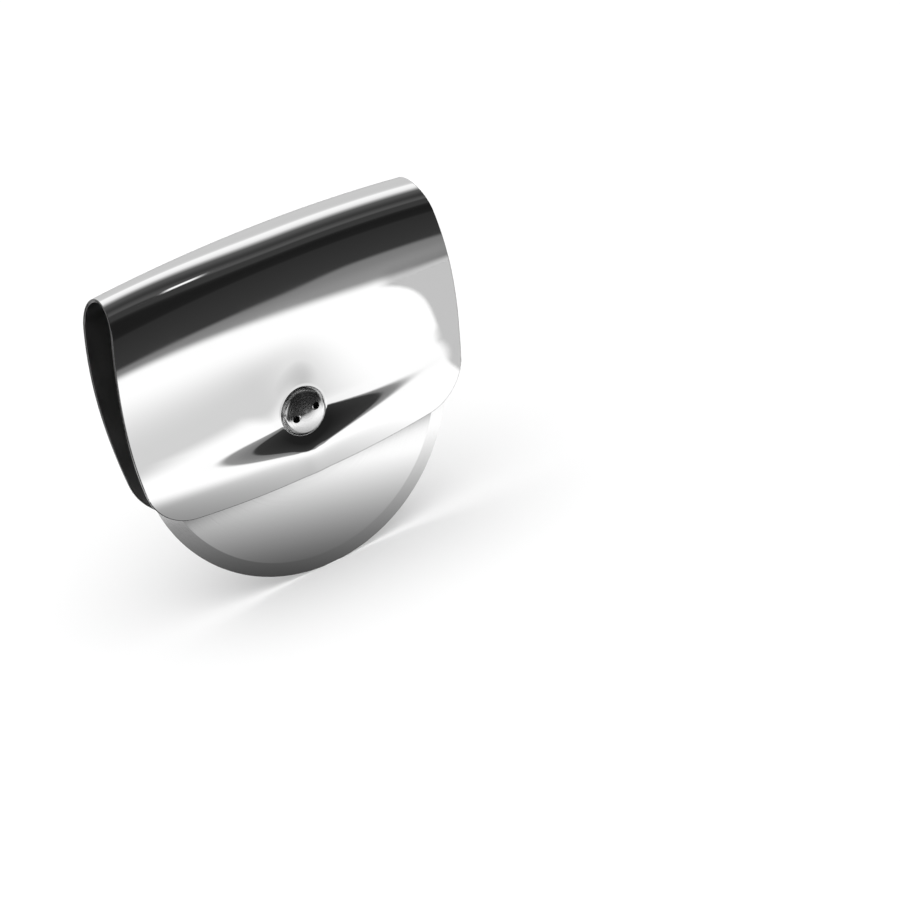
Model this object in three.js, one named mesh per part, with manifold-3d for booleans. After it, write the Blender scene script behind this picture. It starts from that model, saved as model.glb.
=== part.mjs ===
// Palm-held pizza wheel: a steel cutting disc that turns on an axle between the two walls of a folded
// sheet handle. The sheet is rolled over the disc, pressed in to a cup at each end of the axle and
// trimmed to a rounded shield. Sizes are millimetres. X runs along the cut, Y along the axle and Z up
// from the board.
import * as THREE from 'three';
import { mergeVertices } from 'three/addons/utils/BufferGeometryUtils.js';
import Module from 'manifold-3d';

// Cutting disc
const DISC_RADIUS = 50;
const DISC_THICKNESS = 1.2;
const DISC_BORE_RADIUS = 5;
const BEVEL_WIDTH = 4.3;
const EDGE_LAND = 0.12;
const DISC_STEPS = 120;
const AXLE_HEIGHT = DISC_RADIUS;

// Handle sheet: outer surface of the roll and of the walls that draw together below it
const SHEET_THICKNESS = 1;
const RIDGE_HEIGHT = 104.6;
const RIDGE_RADIUS = 501;
const ROLL_RADIUS = 9.14;
const WALL_TAPER = 0.1018;
const TAPER_SOFTNESS = 20;
const LIP_LEVEL = 6;
const LIP_TAPER = 0.0316;
const LIP_SOFTNESS = 12;

// Handle sheet: trimmed outline seen along the axle
const END_REACH = 54;
const END_BULGE_HEIGHT = 66.8;
const END_RADIUS = 140;
const BOTTOM_HEIGHT = 30.4;
const BOTTOM_RADIUS = 296;
const CORNER_RADIUS = 15.5;

// Handle sheet: valley pressed towards the disc, the lip's flare below it and a flat cup for each axle head
const VALLEY_LEVEL = 1;
const VALLEY_BOW = 455;
const VALLEY_HALF_LENGTH = 6.7;
const VALLEY_FADE = 0.487;
const VALLEY_RISE = 27.2;
const VALLEY_POWER = 3.11;
const FLARE_LEVEL = 0.12;
const FLARE_BOW = 263;
const FLARE_HALF_LENGTH = 4.2;
const FLARE_FADE = 0.339;
const FLARE_DROP = 18.3;
const FLARE_POWER = 5.06;
const SEAT_OFFSET = 3.1;
const CUP_RADIUS = 7.1;
const CUP_DEPTH = 3;
const AXLE_HOLE_RADIUS = 3.3;

// Handle sheet: facets along the disc, over half of the roll and down each wall, closer near the axle
const LENGTH_STEPS = 38;
const ROLL_STEPS = 7;
const WALL_STEPS = 20;
const CROWDING = 0.3;

// Hub bushes and thrust washers
const HUB_STEPS = 40;
const BUSH_BORE_RADIUS = 3.08;
const BUSH_SLEEVE_RADIUS = 4.95;
const BUSH_FLANGE_RADIUS = 9;
const BUSH_FLANGE_THICKNESS = 0.65;
const WASHER_RADIUS = 6.8;
const WASHER_THICKNESS = 0.75;

// Axle screw and barrel nut
const BARREL_RADIUS = 3;
const THREAD_RADIUS = 2.1;
const THREAD_DEPTH = 6.2;
const STUD_RADIUS = 1.95;
const STUD_LENGTH = 5.7;
const STUD_CHAMFER = 0.3;
const HEAD_RADIUS = 6.95;
const FLANK_HEIGHT = 1.8;
const CROWN_RADIUS = 6.3;
const DOME_RADIUS = 6.05;
const DOME_LEVEL = 2.1;
const DOME_HEIGHT = 0.97;
const DOME_STEPS = 5;
const PIN_HOLE_RADIUS = 1;
const PIN_HOLE_OFFSET = 3.6;
const PIN_HOLE_FLOOR = 0.8;
const PIN_HOLE_TURN = THREE.MathUtils.degToRad(-13);
const PIN_HOLE_STEPS = 24;

const wasm = await Module();
wasm.setup();

function toManifold(geometry) {
  const bare = geometry.clone();
  bare.deleteAttribute('normal');
  bare.deleteAttribute('uv');
  const welded = mergeVertices(bare, 1e-4);
  const vertProperties = new Float32Array(welded.attributes.position.array);
  const triVerts = new Uint32Array(welded.index.array);
  return new wasm.Manifold(new wasm.Mesh({ numProp: 3, vertProperties, triVerts }));
}

function fromManifold(solid) {
  const mesh = solid.getMesh();
  const geometry = new THREE.BufferGeometry();
  geometry.setAttribute('position', new THREE.BufferAttribute(mesh.vertProperties, 3));
  geometry.setIndex(new THREE.BufferAttribute(mesh.triVerts, 1));
  geometry.computeVertexNormals();
  return geometry;
}

// Takes the tools away from a solid.
function cut(solid, tools) {
  let left = solid;
  for (const tool of tools) {
    left = left.subtract(toManifold(tool));
  }
  return fromManifold(left);
}

// Turns a profile of [radius, y] points about the axle.
function turned(profile, steps) {
  const points = profile.map(([radius, y]) => new THREE.Vector2(radius, y));
  return new THREE.LatheGeometry(points, steps);
}

// A round tool along the axle from y0 to y1, set off by x and z.
function roundTool(radius, y0, y1, x, z, steps) {
  const tool = new THREE.CylinderGeometry(radius, radius, y1 - y0, steps);
  return tool.translate(x, (y0 + y1) / 2, z);
}

// Heights of the sheet are counted from the axle, so that every piece shares one origin.
const QUARTER_ROLL = ROLL_RADIUS * Math.PI / 2;
const RIDGE_TOP = RIDGE_HEIGHT - AXLE_HEIGHT;
const BULGE_LEVEL = END_BULGE_HEIGHT - AXLE_HEIGHT;
const BOTTOM_LEVEL = BOTTOM_HEIGHT - AXLE_HEIGHT;

// Centre of the roll: the ridge is a long arch, highest over the axle.
function rollCentre(x) {
  const drop = RIDGE_RADIUS - Math.sqrt(RIDGE_RADIUS ** 2 - x ** 2);
  return RIDGE_TOP - drop - ROLL_RADIUS;
}

// Half width of a plain wall: upright under the roll, then drawing in at a steady taper, and a little more
// at the lip that closes in on the disc.
function plainHalfWidth(x, z) {
  const depth = rollCentre(x) - z;
  const taper = WALL_TAPER * (Math.hypot(depth, TAPER_SOFTNESS) - TAPER_SOFTNESS);
  const lip = Math.max(0, LIP_LEVEL - z);
  return ROLL_RADIUS - taper - LIP_TAPER * lip ** 2 / (lip + LIP_SOFTNESS);
}

// Share of a pressed form that is left along the disc, away from the axle.
function fadeAlong(x, halfLength, power) {
  return (1 + (x / halfLength) ** 2) ** -power;
}

// Share of a pressed form that is left above or below its middle.
function fadeAcross(level, reach, power) {
  return Math.max(0, 1 - (level / reach) ** 2) ** power;
}

// Height over a pressed line that bows up towards both ends of the sheet.
function heightOver(level, bow, x, z) {
  return z - level - x ** 2 / (2 * bow);
}

// Half width of a wall with the pressed valley. Above its floor the valley runs out into the plain wall;
// below it the lip flares out again, most of all at the axle.
function wallHalfWidth(x, z) {
  const above = Math.max(0, heightOver(VALLEY_LEVEL, VALLEY_BOW, x, z));
  const below = Math.min(0, heightOver(FLARE_LEVEL, FLARE_BOW, x, z));
  const rise = fadeAcross(above, VALLEY_RISE, VALLEY_POWER);
  const flare = 1 - fadeAcross(below, FLARE_DROP, FLARE_POWER);
  const valley = rise * fadeAlong(x, VALLEY_HALF_LENGTH, VALLEY_FADE);
  const lip = flare * fadeAlong(x, FLARE_HALF_LENGTH, FLARE_FADE);
  const depth = plainHalfWidth(0, 0) - SEAT_OFFSET;
  return plainHalfWidth(x, z) - depth * (valley - lip);
}

// Level of the sheet at a distance from the ridge, measured over the sheet.
function sheetLevel(x, distance) {
  if (distance < QUARTER_ROLL) {
    return rollCentre(x) + ROLL_RADIUS * Math.cos(distance / ROLL_RADIUS);
  }
  return rollCentre(x) - (distance - QUARTER_ROLL);
}

// Point on the outer surface; the distance over the sheet is negative on the front wall.
function sheetPoint(x, distance) {
  const away = Math.abs(distance);
  const z = sheetLevel(x, away);
  if (away < QUARTER_ROLL) {
    return new THREE.Vector3(x, ROLL_RADIUS * Math.sin(distance / ROLL_RADIUS), z);
  }
  return new THREE.Vector3(x, Math.sign(distance) * wallHalfWidth(x, z), z);
}

// Outward normal of the sheet, from two short steps across it.
function sheetNormal(x, distance) {
  const step = 0.01;
  const along = sheetPoint(x + step, distance).sub(sheetPoint(x - step, distance));
  const across = sheetPoint(x, distance + step).sub(sheetPoint(x, distance - step));
  return along.cross(across).normalize();
}

// Half length of the sheet at a level: both ends bow out in one arc.
function endReach(z) {
  return END_REACH - END_RADIUS + Math.sqrt(END_RADIUS ** 2 - (z - BULGE_LEVEL) ** 2);
}

// Half length of the sheet at a distance from the ridge.
function endReachAt(distance) {
  let x = END_REACH;
  for (let pass = 0; pass < 6; pass += 1) {
    x = endReach(sheetLevel(x, distance));
  }
  return x;
}

// Lower rim from the left end to the right end: corner, long bottom arc, corner.
function bottomRim() {
  const end = new THREE.Vector2(END_REACH - END_RADIUS, BULGE_LEVEL);
  const base = new THREE.Vector2(0, BOTTOM_LEVEL + BOTTOM_RADIUS);
  const toEnd = END_RADIUS - CORNER_RADIUS;
  const toBase = BOTTOM_RADIUS - CORNER_RADIUS;
  const line = base.clone().sub(end);
  const span = line.length();
  const along = (toEnd ** 2 - toBase ** 2 + span ** 2) / (2 * span);
  const aside = Math.sqrt(toEnd ** 2 - along ** 2);
  const forward = line.divideScalar(span);
  const corner = end.clone().addScaledVector(forward, along);
  corner.add(new THREE.Vector2(forward.y, -forward.x).multiplyScalar(aside));
  const endTurn = corner.clone().sub(end).angle() - 2 * Math.PI;
  const baseTurn = corner.clone().sub(base).angle() - 2 * Math.PI;
  const rim = new THREE.Path();
  rim.absarc(-corner.x, corner.y, CORNER_RADIUS, -Math.PI - endTurn, -Math.PI - baseTurn, false);
  rim.absarc(base.x, base.y, BOTTOM_RADIUS, -Math.PI - baseTurn, baseTurn, false);
  rim.absarc(corner.x, corner.y, CORNER_RADIUS, baseTurn, endTurn, false);
  return rim;
}

// Moves even shares of 0 to 1 closer together round the one at the axle.
function crowd(share, axleShare) {
  const turn = 2 * Math.PI;
  const swing = Math.sin(turn * (share - axleShare)) + Math.sin(turn * axleShare);
  return share - CROWDING * swing / turn;
}

// Places the sheet's grid: each row gives distances over the sheet and half lengths, so that the outer
// columns follow the end arcs and the last row follows the lower rim.
function sheetGrid() {
  const rim = bottomRim();
  const corner = rim.getPointAt(1);
  const cornerDistance = QUARTER_ROLL + rollCentre(corner.x) - corner.y;
  const axleShare = rollCentre(0) / (rollCentre(0) - BOTTOM_LEVEL);
  const rowCount = ROLL_STEPS + WALL_STEPS;
  const rows = [];
  for (let row = -rowCount; row <= rowCount; row += 1) {
    const side = Math.sign(row);
    const step = Math.abs(row);
    const onRoll = step <= ROLL_STEPS;
    const fall = onRoll ? 0 : crowd((step - ROLL_STEPS) / WALL_STEPS, axleShare);
    const rolled = onRoll ? QUARTER_ROLL * step / ROLL_STEPS : QUARTER_ROLL;
    const reach = endReachAt(rolled + fall * (cornerDistance - QUARTER_ROLL));
    const points = [];
    for (let column = 0; column <= LENGTH_STEPS; column += 1) {
      const place = crowd(column / LENGTH_STEPS, 0.5);
      const share = 2 * place - 1;
      const low = rim.getPointAt(place);
      const lowDistance = QUARTER_ROLL + rollCentre(low.x) - low.y;
      const x = share * reach + fall * (low.x - share * corner.x);
      points.push([x, side * (rolled + fall * (lowDistance - QUARTER_ROLL))]);
    }
    rows.push(points);
  }
  return rows;
}

// Closes the grid to a sheet of even thickness between two depths under the outer surface: outer face,
// inner face and the rim between them.
function foldedSheet(outerDepth, innerDepth) {
  const rows = sheetGrid();
  const width = LENGTH_STEPS + 1;
  const inner = rows.length * width;
  const outside = [];
  const inside = [];
  for (const points of rows) {
    for (const [x, distance] of points) {
      const point = sheetPoint(x, distance);
      const normal = sheetNormal(x, distance);
      outside.push(...point.clone().addScaledVector(normal, -outerDepth).toArray());
      inside.push(...point.clone().addScaledVector(normal, -innerDepth).toArray());
    }
  }
  const faces = [];
  for (let row = 0; row < rows.length - 1; row += 1) {
    for (let column = 0; column < LENGTH_STEPS; column += 1) {
      const a = row * width + column;
      const b = a + 1;
      const c = b + width;
      const d = a + width;
      faces.push(a, b, c, a, c, d);
      faces.push(inner + c, inner + b, inner + a, inner + d, inner + c, inner + a);
    }
  }
  const loop = [];
  for (let column = 0; column < LENGTH_STEPS; column += 1) {
    loop.push(column);
  }
  for (let row = 0; row < rows.length - 1; row += 1) {
    loop.push(row * width + LENGTH_STEPS);
  }
  for (let column = LENGTH_STEPS; column > 0; column -= 1) {
    loop.push((rows.length - 1) * width + column);
  }
  for (let row = rows.length - 1; row > 0; row -= 1) {
    loop.push(row * width);
  }
  loop.forEach((from, place) => {
    const to = loop[(place + 1) % loop.length];
    faces.push(to, from, inner + from, to, inner + from, inner + to);
  });
  const geometry = new THREE.BufferGeometry();
  geometry.setAttribute('position', new THREE.Float32BufferAttribute([...outside, ...inside], 3));
  geometry.setIndex(faces);
  return geometry;
}

// The sheet with a flat cup pressed into each wall, where a head sits, and with the axle holes. The cups'
// side walls start half way through the sheet and end at the floor.
function handleShell() {
  const clear = 2 * ROLL_RADIUS;
  const outer = CUP_RADIUS + SHEET_THICKNESS;
  const floor = SEAT_OFFSET - SHEET_THICKNESS;
  const rearCup = toManifold(roundTool(outer, floor, clear, 0, 0, HUB_STEPS));
  const frontCup = toManifold(roundTool(outer, -clear, -floor, 0, 0, HUB_STEPS));
  const cups = toManifold(foldedSheet(SHEET_THICKNESS / 2, CUP_DEPTH)).intersect(rearCup.add(frontCup));
  const sheet = toManifold(foldedSheet(0, SHEET_THICKNESS)).add(cups);
  return cut(sheet, [
    roundTool(CUP_RADIUS, SEAT_OFFSET, clear, 0, 0, HUB_STEPS),
    roundTool(CUP_RADIUS, -clear, -SEAT_OFFSET, 0, 0, HUB_STEPS),
    roundTool(AXLE_HOLE_RADIUS, -clear, clear, 0, 0, HUB_STEPS),
  ]);
}

// Flat disc, ground from both sides to a narrow edge.
function cuttingDisc() {
  const half = DISC_THICKNESS / 2;
  const ground = DISC_RADIUS - BEVEL_WIDTH;
  return turned([
    [DISC_BORE_RADIUS, -half],
    [ground, -half],
    [DISC_RADIUS, -EDGE_LAND / 2],
    [DISC_RADIUS, EDGE_LAND / 2],
    [ground, half],
    [DISC_BORE_RADIUS, half],
    [DISC_BORE_RADIUS, -half],
  ], DISC_STEPS);
}

const FLANGE_FACE = DISC_THICKNESS / 2 + BUSH_FLANGE_THICKNESS;
const INNER_SEAT = SEAT_OFFSET - SHEET_THICKNESS;

// Rear half bush: a flange on the disc's face and a sleeve that fills half of its bore.
function hubBush() {
  return turned([
    [BUSH_BORE_RADIUS, 0],
    [BUSH_SLEEVE_RADIUS, 0],
    [BUSH_SLEEVE_RADIUS, DISC_THICKNESS / 2],
    [BUSH_FLANGE_RADIUS, DISC_THICKNESS / 2],
    [BUSH_FLANGE_RADIUS, FLANGE_FACE],
    [BUSH_BORE_RADIUS, FLANGE_FACE],
    [BUSH_BORE_RADIUS, 0],
  ], HUB_STEPS);
}

// Rear thrust washer, lying on the inside of the sheet's cup.
function thrustWasher() {
  return turned([
    [BUSH_BORE_RADIUS, INNER_SEAT - WASHER_THICKNESS],
    [WASHER_RADIUS, INNER_SEAT - WASHER_THICKNESS],
    [WASHER_RADIUS, INNER_SEAT],
    [BUSH_BORE_RADIUS, INNER_SEAT],
    [BUSH_BORE_RADIUS, INNER_SEAT - WASHER_THICKNESS],
  ], HUB_STEPS);
}

// Outer side of an axle head from its seat to the crown: tapering flank, broken edge and shallow dome.
function headProfile() {
  const sphere = (DOME_RADIUS ** 2 + DOME_HEIGHT ** 2) / (2 * DOME_HEIGHT);
  const crown = SEAT_OFFSET + DOME_LEVEL + DOME_HEIGHT;
  const profile = [[HEAD_RADIUS, SEAT_OFFSET], [CROWN_RADIUS, SEAT_OFFSET + FLANK_HEIGHT]];
  for (let step = DOME_STEPS; step >= 0; step -= 1) {
    const radius = DOME_RADIUS * step / DOME_STEPS;
    profile.push([radius, crown - sphere + Math.sqrt(sphere ** 2 - radius ** 2)]);
  }
  return profile;
}

// Two blind holes for a pin spanner in the rear head.
function pinHoles() {
  const far = SEAT_OFFSET + DOME_LEVEL + 2 * DOME_HEIGHT;
  return [1, -1].map((side) => {
    const x = side * PIN_HOLE_OFFSET * Math.cos(PIN_HOLE_TURN);
    const z = side * PIN_HOLE_OFFSET * Math.sin(PIN_HOLE_TURN);
    return roundTool(PIN_HOLE_RADIUS, SEAT_OFFSET + PIN_HOLE_FLOOR, far, x, z, PIN_HOLE_STEPS);
  });
}

// Rear head with the barrel that spaces the walls and carries the wheel.
function barrelNut() {
  const blank = turned([
    [0, THREAD_DEPTH - SEAT_OFFSET],
    [THREAD_RADIUS, THREAD_DEPTH - SEAT_OFFSET],
    [THREAD_RADIUS, -SEAT_OFFSET],
    [BARREL_RADIUS, -SEAT_OFFSET],
    [BARREL_RADIUS, SEAT_OFFSET],
    ...headProfile(),
  ], HUB_STEPS);
  return cut(toManifold(blank), pinHoles());
}

// Head with the stud that screws into the barrel, drawn facing the rear like the nut.
function axleScrew() {
  const tip = SEAT_OFFSET - STUD_LENGTH;
  const blank = turned([
    [0, tip],
    [STUD_RADIUS - STUD_CHAMFER, tip],
    [STUD_RADIUS, tip + STUD_CHAMFER],
    [STUD_RADIUS, SEAT_OFFSET],
    ...headProfile(),
  ], HUB_STEPS);
  return cut(toManifold(blank), pinHoles());
}

const POLISHED = { color: 0xd4d6d8, roughness: 0.08, metalness: 1 };
const GROUND = { color: 0xc6c9cc, roughness: 0.2, metalness: 1 };
const POLYMER = { color: 0xe8e6df, roughness: 0.5, metalness: 0 };

const group = new THREE.Group();
group.name = 'pizza_wheel';

function place(name, geometry, finish, facing = 0) {
  const mesh = new THREE.Mesh(geometry, new THREE.MeshStandardMaterial(finish));
  mesh.name = name;
  mesh.position.z = AXLE_HEIGHT;
  mesh.rotation.z = facing;
  group.add(mesh);
}

place('handle_shell', handleShell(), POLISHED);
place('cutting_disc', cuttingDisc(), GROUND);
place('rear_hub_bush', hubBush(), POLYMER);
place('front_hub_bush', hubBush(), POLYMER, Math.PI);
place('rear_thrust_washer', thrustWasher(), POLYMER);
place('front_thrust_washer', thrustWasher(), POLYMER, Math.PI);
place('axle_barrel_nut', barrelNut(), POLISHED);
place('axle_screw', axleScrew(), POLISHED, Math.PI);

export default group;
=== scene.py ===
from math import cos, hypot, pi, radians, sin, sqrt

import bmesh
import bpy
import numpy as np
from mathutils import Matrix, Vector
from mathutils.geometry import delaunay_2d_cdt


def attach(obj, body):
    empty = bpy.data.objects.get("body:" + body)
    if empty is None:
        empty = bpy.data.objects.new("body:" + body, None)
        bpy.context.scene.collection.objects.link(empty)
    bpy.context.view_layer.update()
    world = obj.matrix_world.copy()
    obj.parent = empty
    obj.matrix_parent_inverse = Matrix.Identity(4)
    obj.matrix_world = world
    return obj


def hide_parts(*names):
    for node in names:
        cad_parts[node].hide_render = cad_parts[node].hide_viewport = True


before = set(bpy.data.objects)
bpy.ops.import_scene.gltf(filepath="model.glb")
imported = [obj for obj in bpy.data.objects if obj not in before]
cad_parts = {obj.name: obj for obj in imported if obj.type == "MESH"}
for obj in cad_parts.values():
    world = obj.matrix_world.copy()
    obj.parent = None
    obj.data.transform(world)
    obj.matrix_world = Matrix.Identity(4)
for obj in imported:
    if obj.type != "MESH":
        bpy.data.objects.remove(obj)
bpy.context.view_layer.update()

# Sizes are in millimetres, with heights counted from the axle. The scene is in metres.
MM = 0.001

# Cutting disc
DISC_RADIUS = 50
DISC_THICKNESS = 1.2
DISC_BORE_RADIUS = 5
BEVEL_WIDTH = 4.3
EDGE_LAND = 0.12

# The axle's place in the scene, a disc's radius above the board
AXLE = Vector((0, 0, DISC_RADIUS * MM))

# Folded sheet: ridge, walls and lip
SHEET_THICKNESS = 1
RIDGE_TOP = 54.6
RIDGE_RADIUS = 501
ROLL_RADIUS = 9.14
QUARTER_ROLL = ROLL_RADIUS * pi / 2
WALL_TAPER = 0.1018
TAPER_SOFTNESS = 20
LIP_LEVEL = 6
LIP_TAPER = 0.0316
LIP_SOFTNESS = 12

# Folded sheet: trimmed outline
END_REACH = 54
BULGE_LEVEL = 16.8
END_RADIUS = 140
BOTTOM_LEVEL = -19.6
BOTTOM_RADIUS = 296
CORNER_RADIUS = 15.5
RIM_ROUNDING = 0.22

# Folded sheet: pressed valley, and the flare of the lip below it
VALLEY_LEVEL = 1
VALLEY_BOW = 455
VALLEY_HALF_LENGTH = 6.7
VALLEY_FADE = 0.487
VALLEY_RISE = 27.2
VALLEY_POWER = 3.11
FLARE_LEVEL = 0.12
FLARE_BOW = 263
FLARE_HALF_LENGTH = 4.2
FLARE_FADE = 0.339
FLARE_DROP = 18.3
FLARE_POWER = 5.06

# Folded sheet: a cup for each head, in a round patch of the wall. A ring has a radius, a share
# of the wall's height over the cup's floor, and the rise of the pressed lip. The rounding outside
# is tighter towards the bottom.
SEAT_OFFSET = 3.1
AXLE_HOLE_RADIUS = 3.3
PATCH_RADIUS = 10
CUP_RADIUS = 7.1
ROUNDING_REACH = 9
BOTTOM_ROUNDING = 0.35
OUTER_CUP = [
    (9.3, 1, 0), (8.6, 1, 0), (8.2, 1, 0), (8.05, 1, 0.012), (7.85, 1, 0.045), (7.65, 1, 0.08),
    (7.5, 1, 0.105), (7.4, 0.99, 0.11), (7.3, 0.96, 0.1), (7.2, 0.89, 0.07), (7.14, 0.79, 0.03),
    (7.11, 0.66, 0), (CUP_RADIUS, 0.5, 0), (CUP_RADIUS, 0.12, 0), (7.07, 0.04, 0), (7, 0, 0),
    (5, 0, 0), (AXLE_HOLE_RADIUS, 0, 0),
]
INNER_CUP = [
    (9.3, 1, 0), (8.7, 1, 0), (8.4, 0.97, 0), (8.2, 0.8, 0), (8.12, 0.5, 0), (8.1, 0.15, 0),
    (8.02, 0.03, 0), (7.9, 0, 0), (5, 0, 0), (AXLE_HOLE_RADIUS, 0, 0),
]

# Hub bushes and thrust washers
BUSH_BORE_RADIUS = 3.08
BUSH_SLEEVE_RADIUS = 4.95
BUSH_FLANGE_RADIUS = 9
BUSH_FLANGE_THICKNESS = 0.65
BUSH_CHAMFER = 0.2
WASHER_RADIUS = 6.8
WASHER_THICKNESS = 0.75
WASHER_CHAMFER = 0.15

# Axle: barrel nut, screw and their heads
BARREL_RADIUS = 3
THREAD_RADIUS = 2.1
THREAD_DEPTH = 6.2
STUD_RADIUS = 1.95
STUD_LENGTH = 5.7
STUD_CHAMFER = 0.3
HEAD_RADIUS = 6.95
FLANK_HEIGHT = 2
CROWN_RADIUS = 6.18
DOME_RADIUS = 6.05
DOME_LEVEL = 2.1
DOME_HEIGHT = 0.97
DOME_SPHERE = (DOME_RADIUS ** 2 + DOME_HEIGHT ** 2) / (2 * DOME_HEIGHT)
DOME_TOP = SEAT_OFFSET + DOME_LEVEL + DOME_HEIGHT
PIN_HOLE_RADIUS = 1
PIN_HOLE_OFFSET = 3.6
PIN_HOLE_FLOOR = 0.8
PIN_HOLE_TURN = radians(-13)
PIN_HOLE_RIM_DEPTH = 0.2
# Rounded rim of a pin hole: growth of the radius, and rise
PIN_HOLE_RIM = [(0.02, -0.1), (0.07, 0), (0.15, 0.08), (0.27, 0.15), (0.5, 0.22), (0.9, 0.3)]

# Meshes: steps of a length, turn or slope, and limits of welds and creases
LENGTH_STEPS = 150
ROLL_STEPS = 28
WALL_STEPS = 110
RIM_STEPS = 4
CROWDING = 0.5
CUP_STEPS = 144
DISC_STEPS = 360
HUB_STEPS = 96
DOME_STEPS = 24
PIN_HOLE_STEPS = 64
SLOPE_STEP = 0.01
SETTLING_ROUNDS = 8
KEEP_INSIDE = 1
FILL_TOLERANCE = 1e-6
WELD_DISTANCE = 1e-7
CREASE_ANGLE = radians(25)
BEVEL_CREASE_ANGLE = radians(3)


# Shape of the sheet

def roll_centre(x):
    """Height of the rolled ridge's centre line."""
    return RIDGE_TOP - (RIDGE_RADIUS - np.sqrt(RIDGE_RADIUS ** 2 - x ** 2)) - ROLL_RADIUS


def plain_half_width(x, z):
    """Half width between the walls before the valley is pressed in."""
    depth = roll_centre(x) - z
    taper = WALL_TAPER * (np.hypot(depth, TAPER_SOFTNESS) - TAPER_SOFTNESS)
    lip = np.maximum(0, LIP_LEVEL - z)
    return ROLL_RADIUS - taper - LIP_TAPER * lip ** 2 / (lip + LIP_SOFTNESS)


def fade_along(x, half_length, power):
    return (1 + (x / half_length) ** 2) ** -power


def fade_across(level, reach, power):
    return np.maximum(0, 1 - (level / reach) ** 2) ** power


def height_over(level, bow, x, z):
    return z - level - x ** 2 / (2 * bow)


def wall_half_width(x, z):
    """Half width of the pressed walls, measured on the outside."""
    above = np.maximum(0, height_over(VALLEY_LEVEL, VALLEY_BOW, x, z))
    below = np.minimum(0, height_over(FLARE_LEVEL, FLARE_BOW, x, z))
    pressed = fade_across(above, VALLEY_RISE, VALLEY_POWER)
    valley = pressed * fade_along(x, VALLEY_HALF_LENGTH, VALLEY_FADE)
    flare = 1 - fade_across(below, FLARE_DROP, FLARE_POWER)
    lip = flare * fade_along(x, FLARE_HALF_LENGTH, FLARE_FADE)
    depth = plain_half_width(0, 0) - SEAT_OFFSET
    return plain_half_width(x, z) - depth * (valley - lip)


def wall_slopes(x, z):
    """Slopes of the wall's half width along the sheet and upwards."""
    step = SLOPE_STEP
    along = (wall_half_width(x + step, z) - wall_half_width(x - step, z)) / (2 * step)
    upwards = (wall_half_width(x, z + step) - wall_half_width(x, z - step)) / (2 * step)
    return along, upwards


def sheet_points(x, distance):
    """Points of the outside, a distance down from the ridge line to the rear (+) or front (-)."""
    away = np.abs(distance)
    on_roll = away < QUARTER_ROLL
    turn = distance / ROLL_RADIUS
    centre = roll_centre(x)
    z = np.where(on_roll, centre + ROLL_RADIUS * np.cos(turn), centre - (away - QUARTER_ROLL))
    wall = np.sign(distance) * wall_half_width(x, z)
    y = np.where(on_roll, ROLL_RADIUS * np.sin(turn), wall)
    return np.stack([x, y, z], axis=-1)


def sheet_normals(x, distance):
    step = SLOPE_STEP
    along = sheet_points(x + step, distance) - sheet_points(x - step, distance)
    across = sheet_points(x, distance + step) - sheet_points(x, distance - step)
    normal = np.cross(along, across)
    return normal / np.linalg.norm(normal, axis=-1, keepdims=True)


def end_reach_at(distance):
    """How far the trimmed end reaches at a distance down from the ridge line."""
    x = END_REACH
    for _ in range(SETTLING_ROUNDS):
        if distance < QUARTER_ROLL:
            z = roll_centre(x) + ROLL_RADIUS * cos(distance / ROLL_RADIUS)
        else:
            z = roll_centre(x) - (distance - QUARTER_ROLL)
        x = END_REACH - END_RADIUS + sqrt(END_RADIUS ** 2 - (z - BULGE_LEVEL) ** 2)
    return x


def bottom_rim(shares):
    """Points of the lower rim from the left end to the right end: corner, long arc, corner."""
    shares = np.asarray(shares)
    end = np.array([END_REACH - END_RADIUS, BULGE_LEVEL])
    base = np.array([0, BOTTOM_LEVEL + BOTTOM_RADIUS])
    to_end = END_RADIUS - CORNER_RADIUS
    to_base = BOTTOM_RADIUS - CORNER_RADIUS
    line = base - end
    span = np.linalg.norm(line)
    along = (to_end ** 2 - to_base ** 2 + span ** 2) / (2 * span)
    aside = sqrt(to_end ** 2 - along ** 2)
    forward = line / span
    corner = end + forward * along + np.array([forward[1], -forward[0]]) * aside
    end_turn = np.arctan2(*(corner - end)[::-1])
    base_turn = np.arctan2(*(corner - base)[::-1])
    corner_length = CORNER_RADIUS * (end_turn - base_turn)
    base_length = BOTTOM_RADIUS * (base_turn + pi / 2)
    far = (2 * np.abs(shares - 0.5)) * (base_length + corner_length)
    on_base = far < base_length
    base_angle = -pi / 2 + far / BOTTOM_RADIUS
    corner_angle = base_turn + (far - base_length) / CORNER_RADIUS
    corner_x = corner[0] + CORNER_RADIUS * np.cos(corner_angle)
    corner_z = corner[1] + CORNER_RADIUS * np.sin(corner_angle)
    x = np.where(on_base, BOTTOM_RADIUS * np.cos(base_angle), corner_x)
    z = np.where(on_base, base[1] + BOTTOM_RADIUS * np.sin(base_angle), corner_z)
    return np.where(shares < 0.5, -x, x), z


def crowd(share, axle_share):
    """Shares of a length, drawn together near the axle."""
    swing = np.sin(2 * pi * (share - axle_share)) + np.sin(2 * pi * axle_share)
    return share - CROWDING * swing / (2 * pi)


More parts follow.
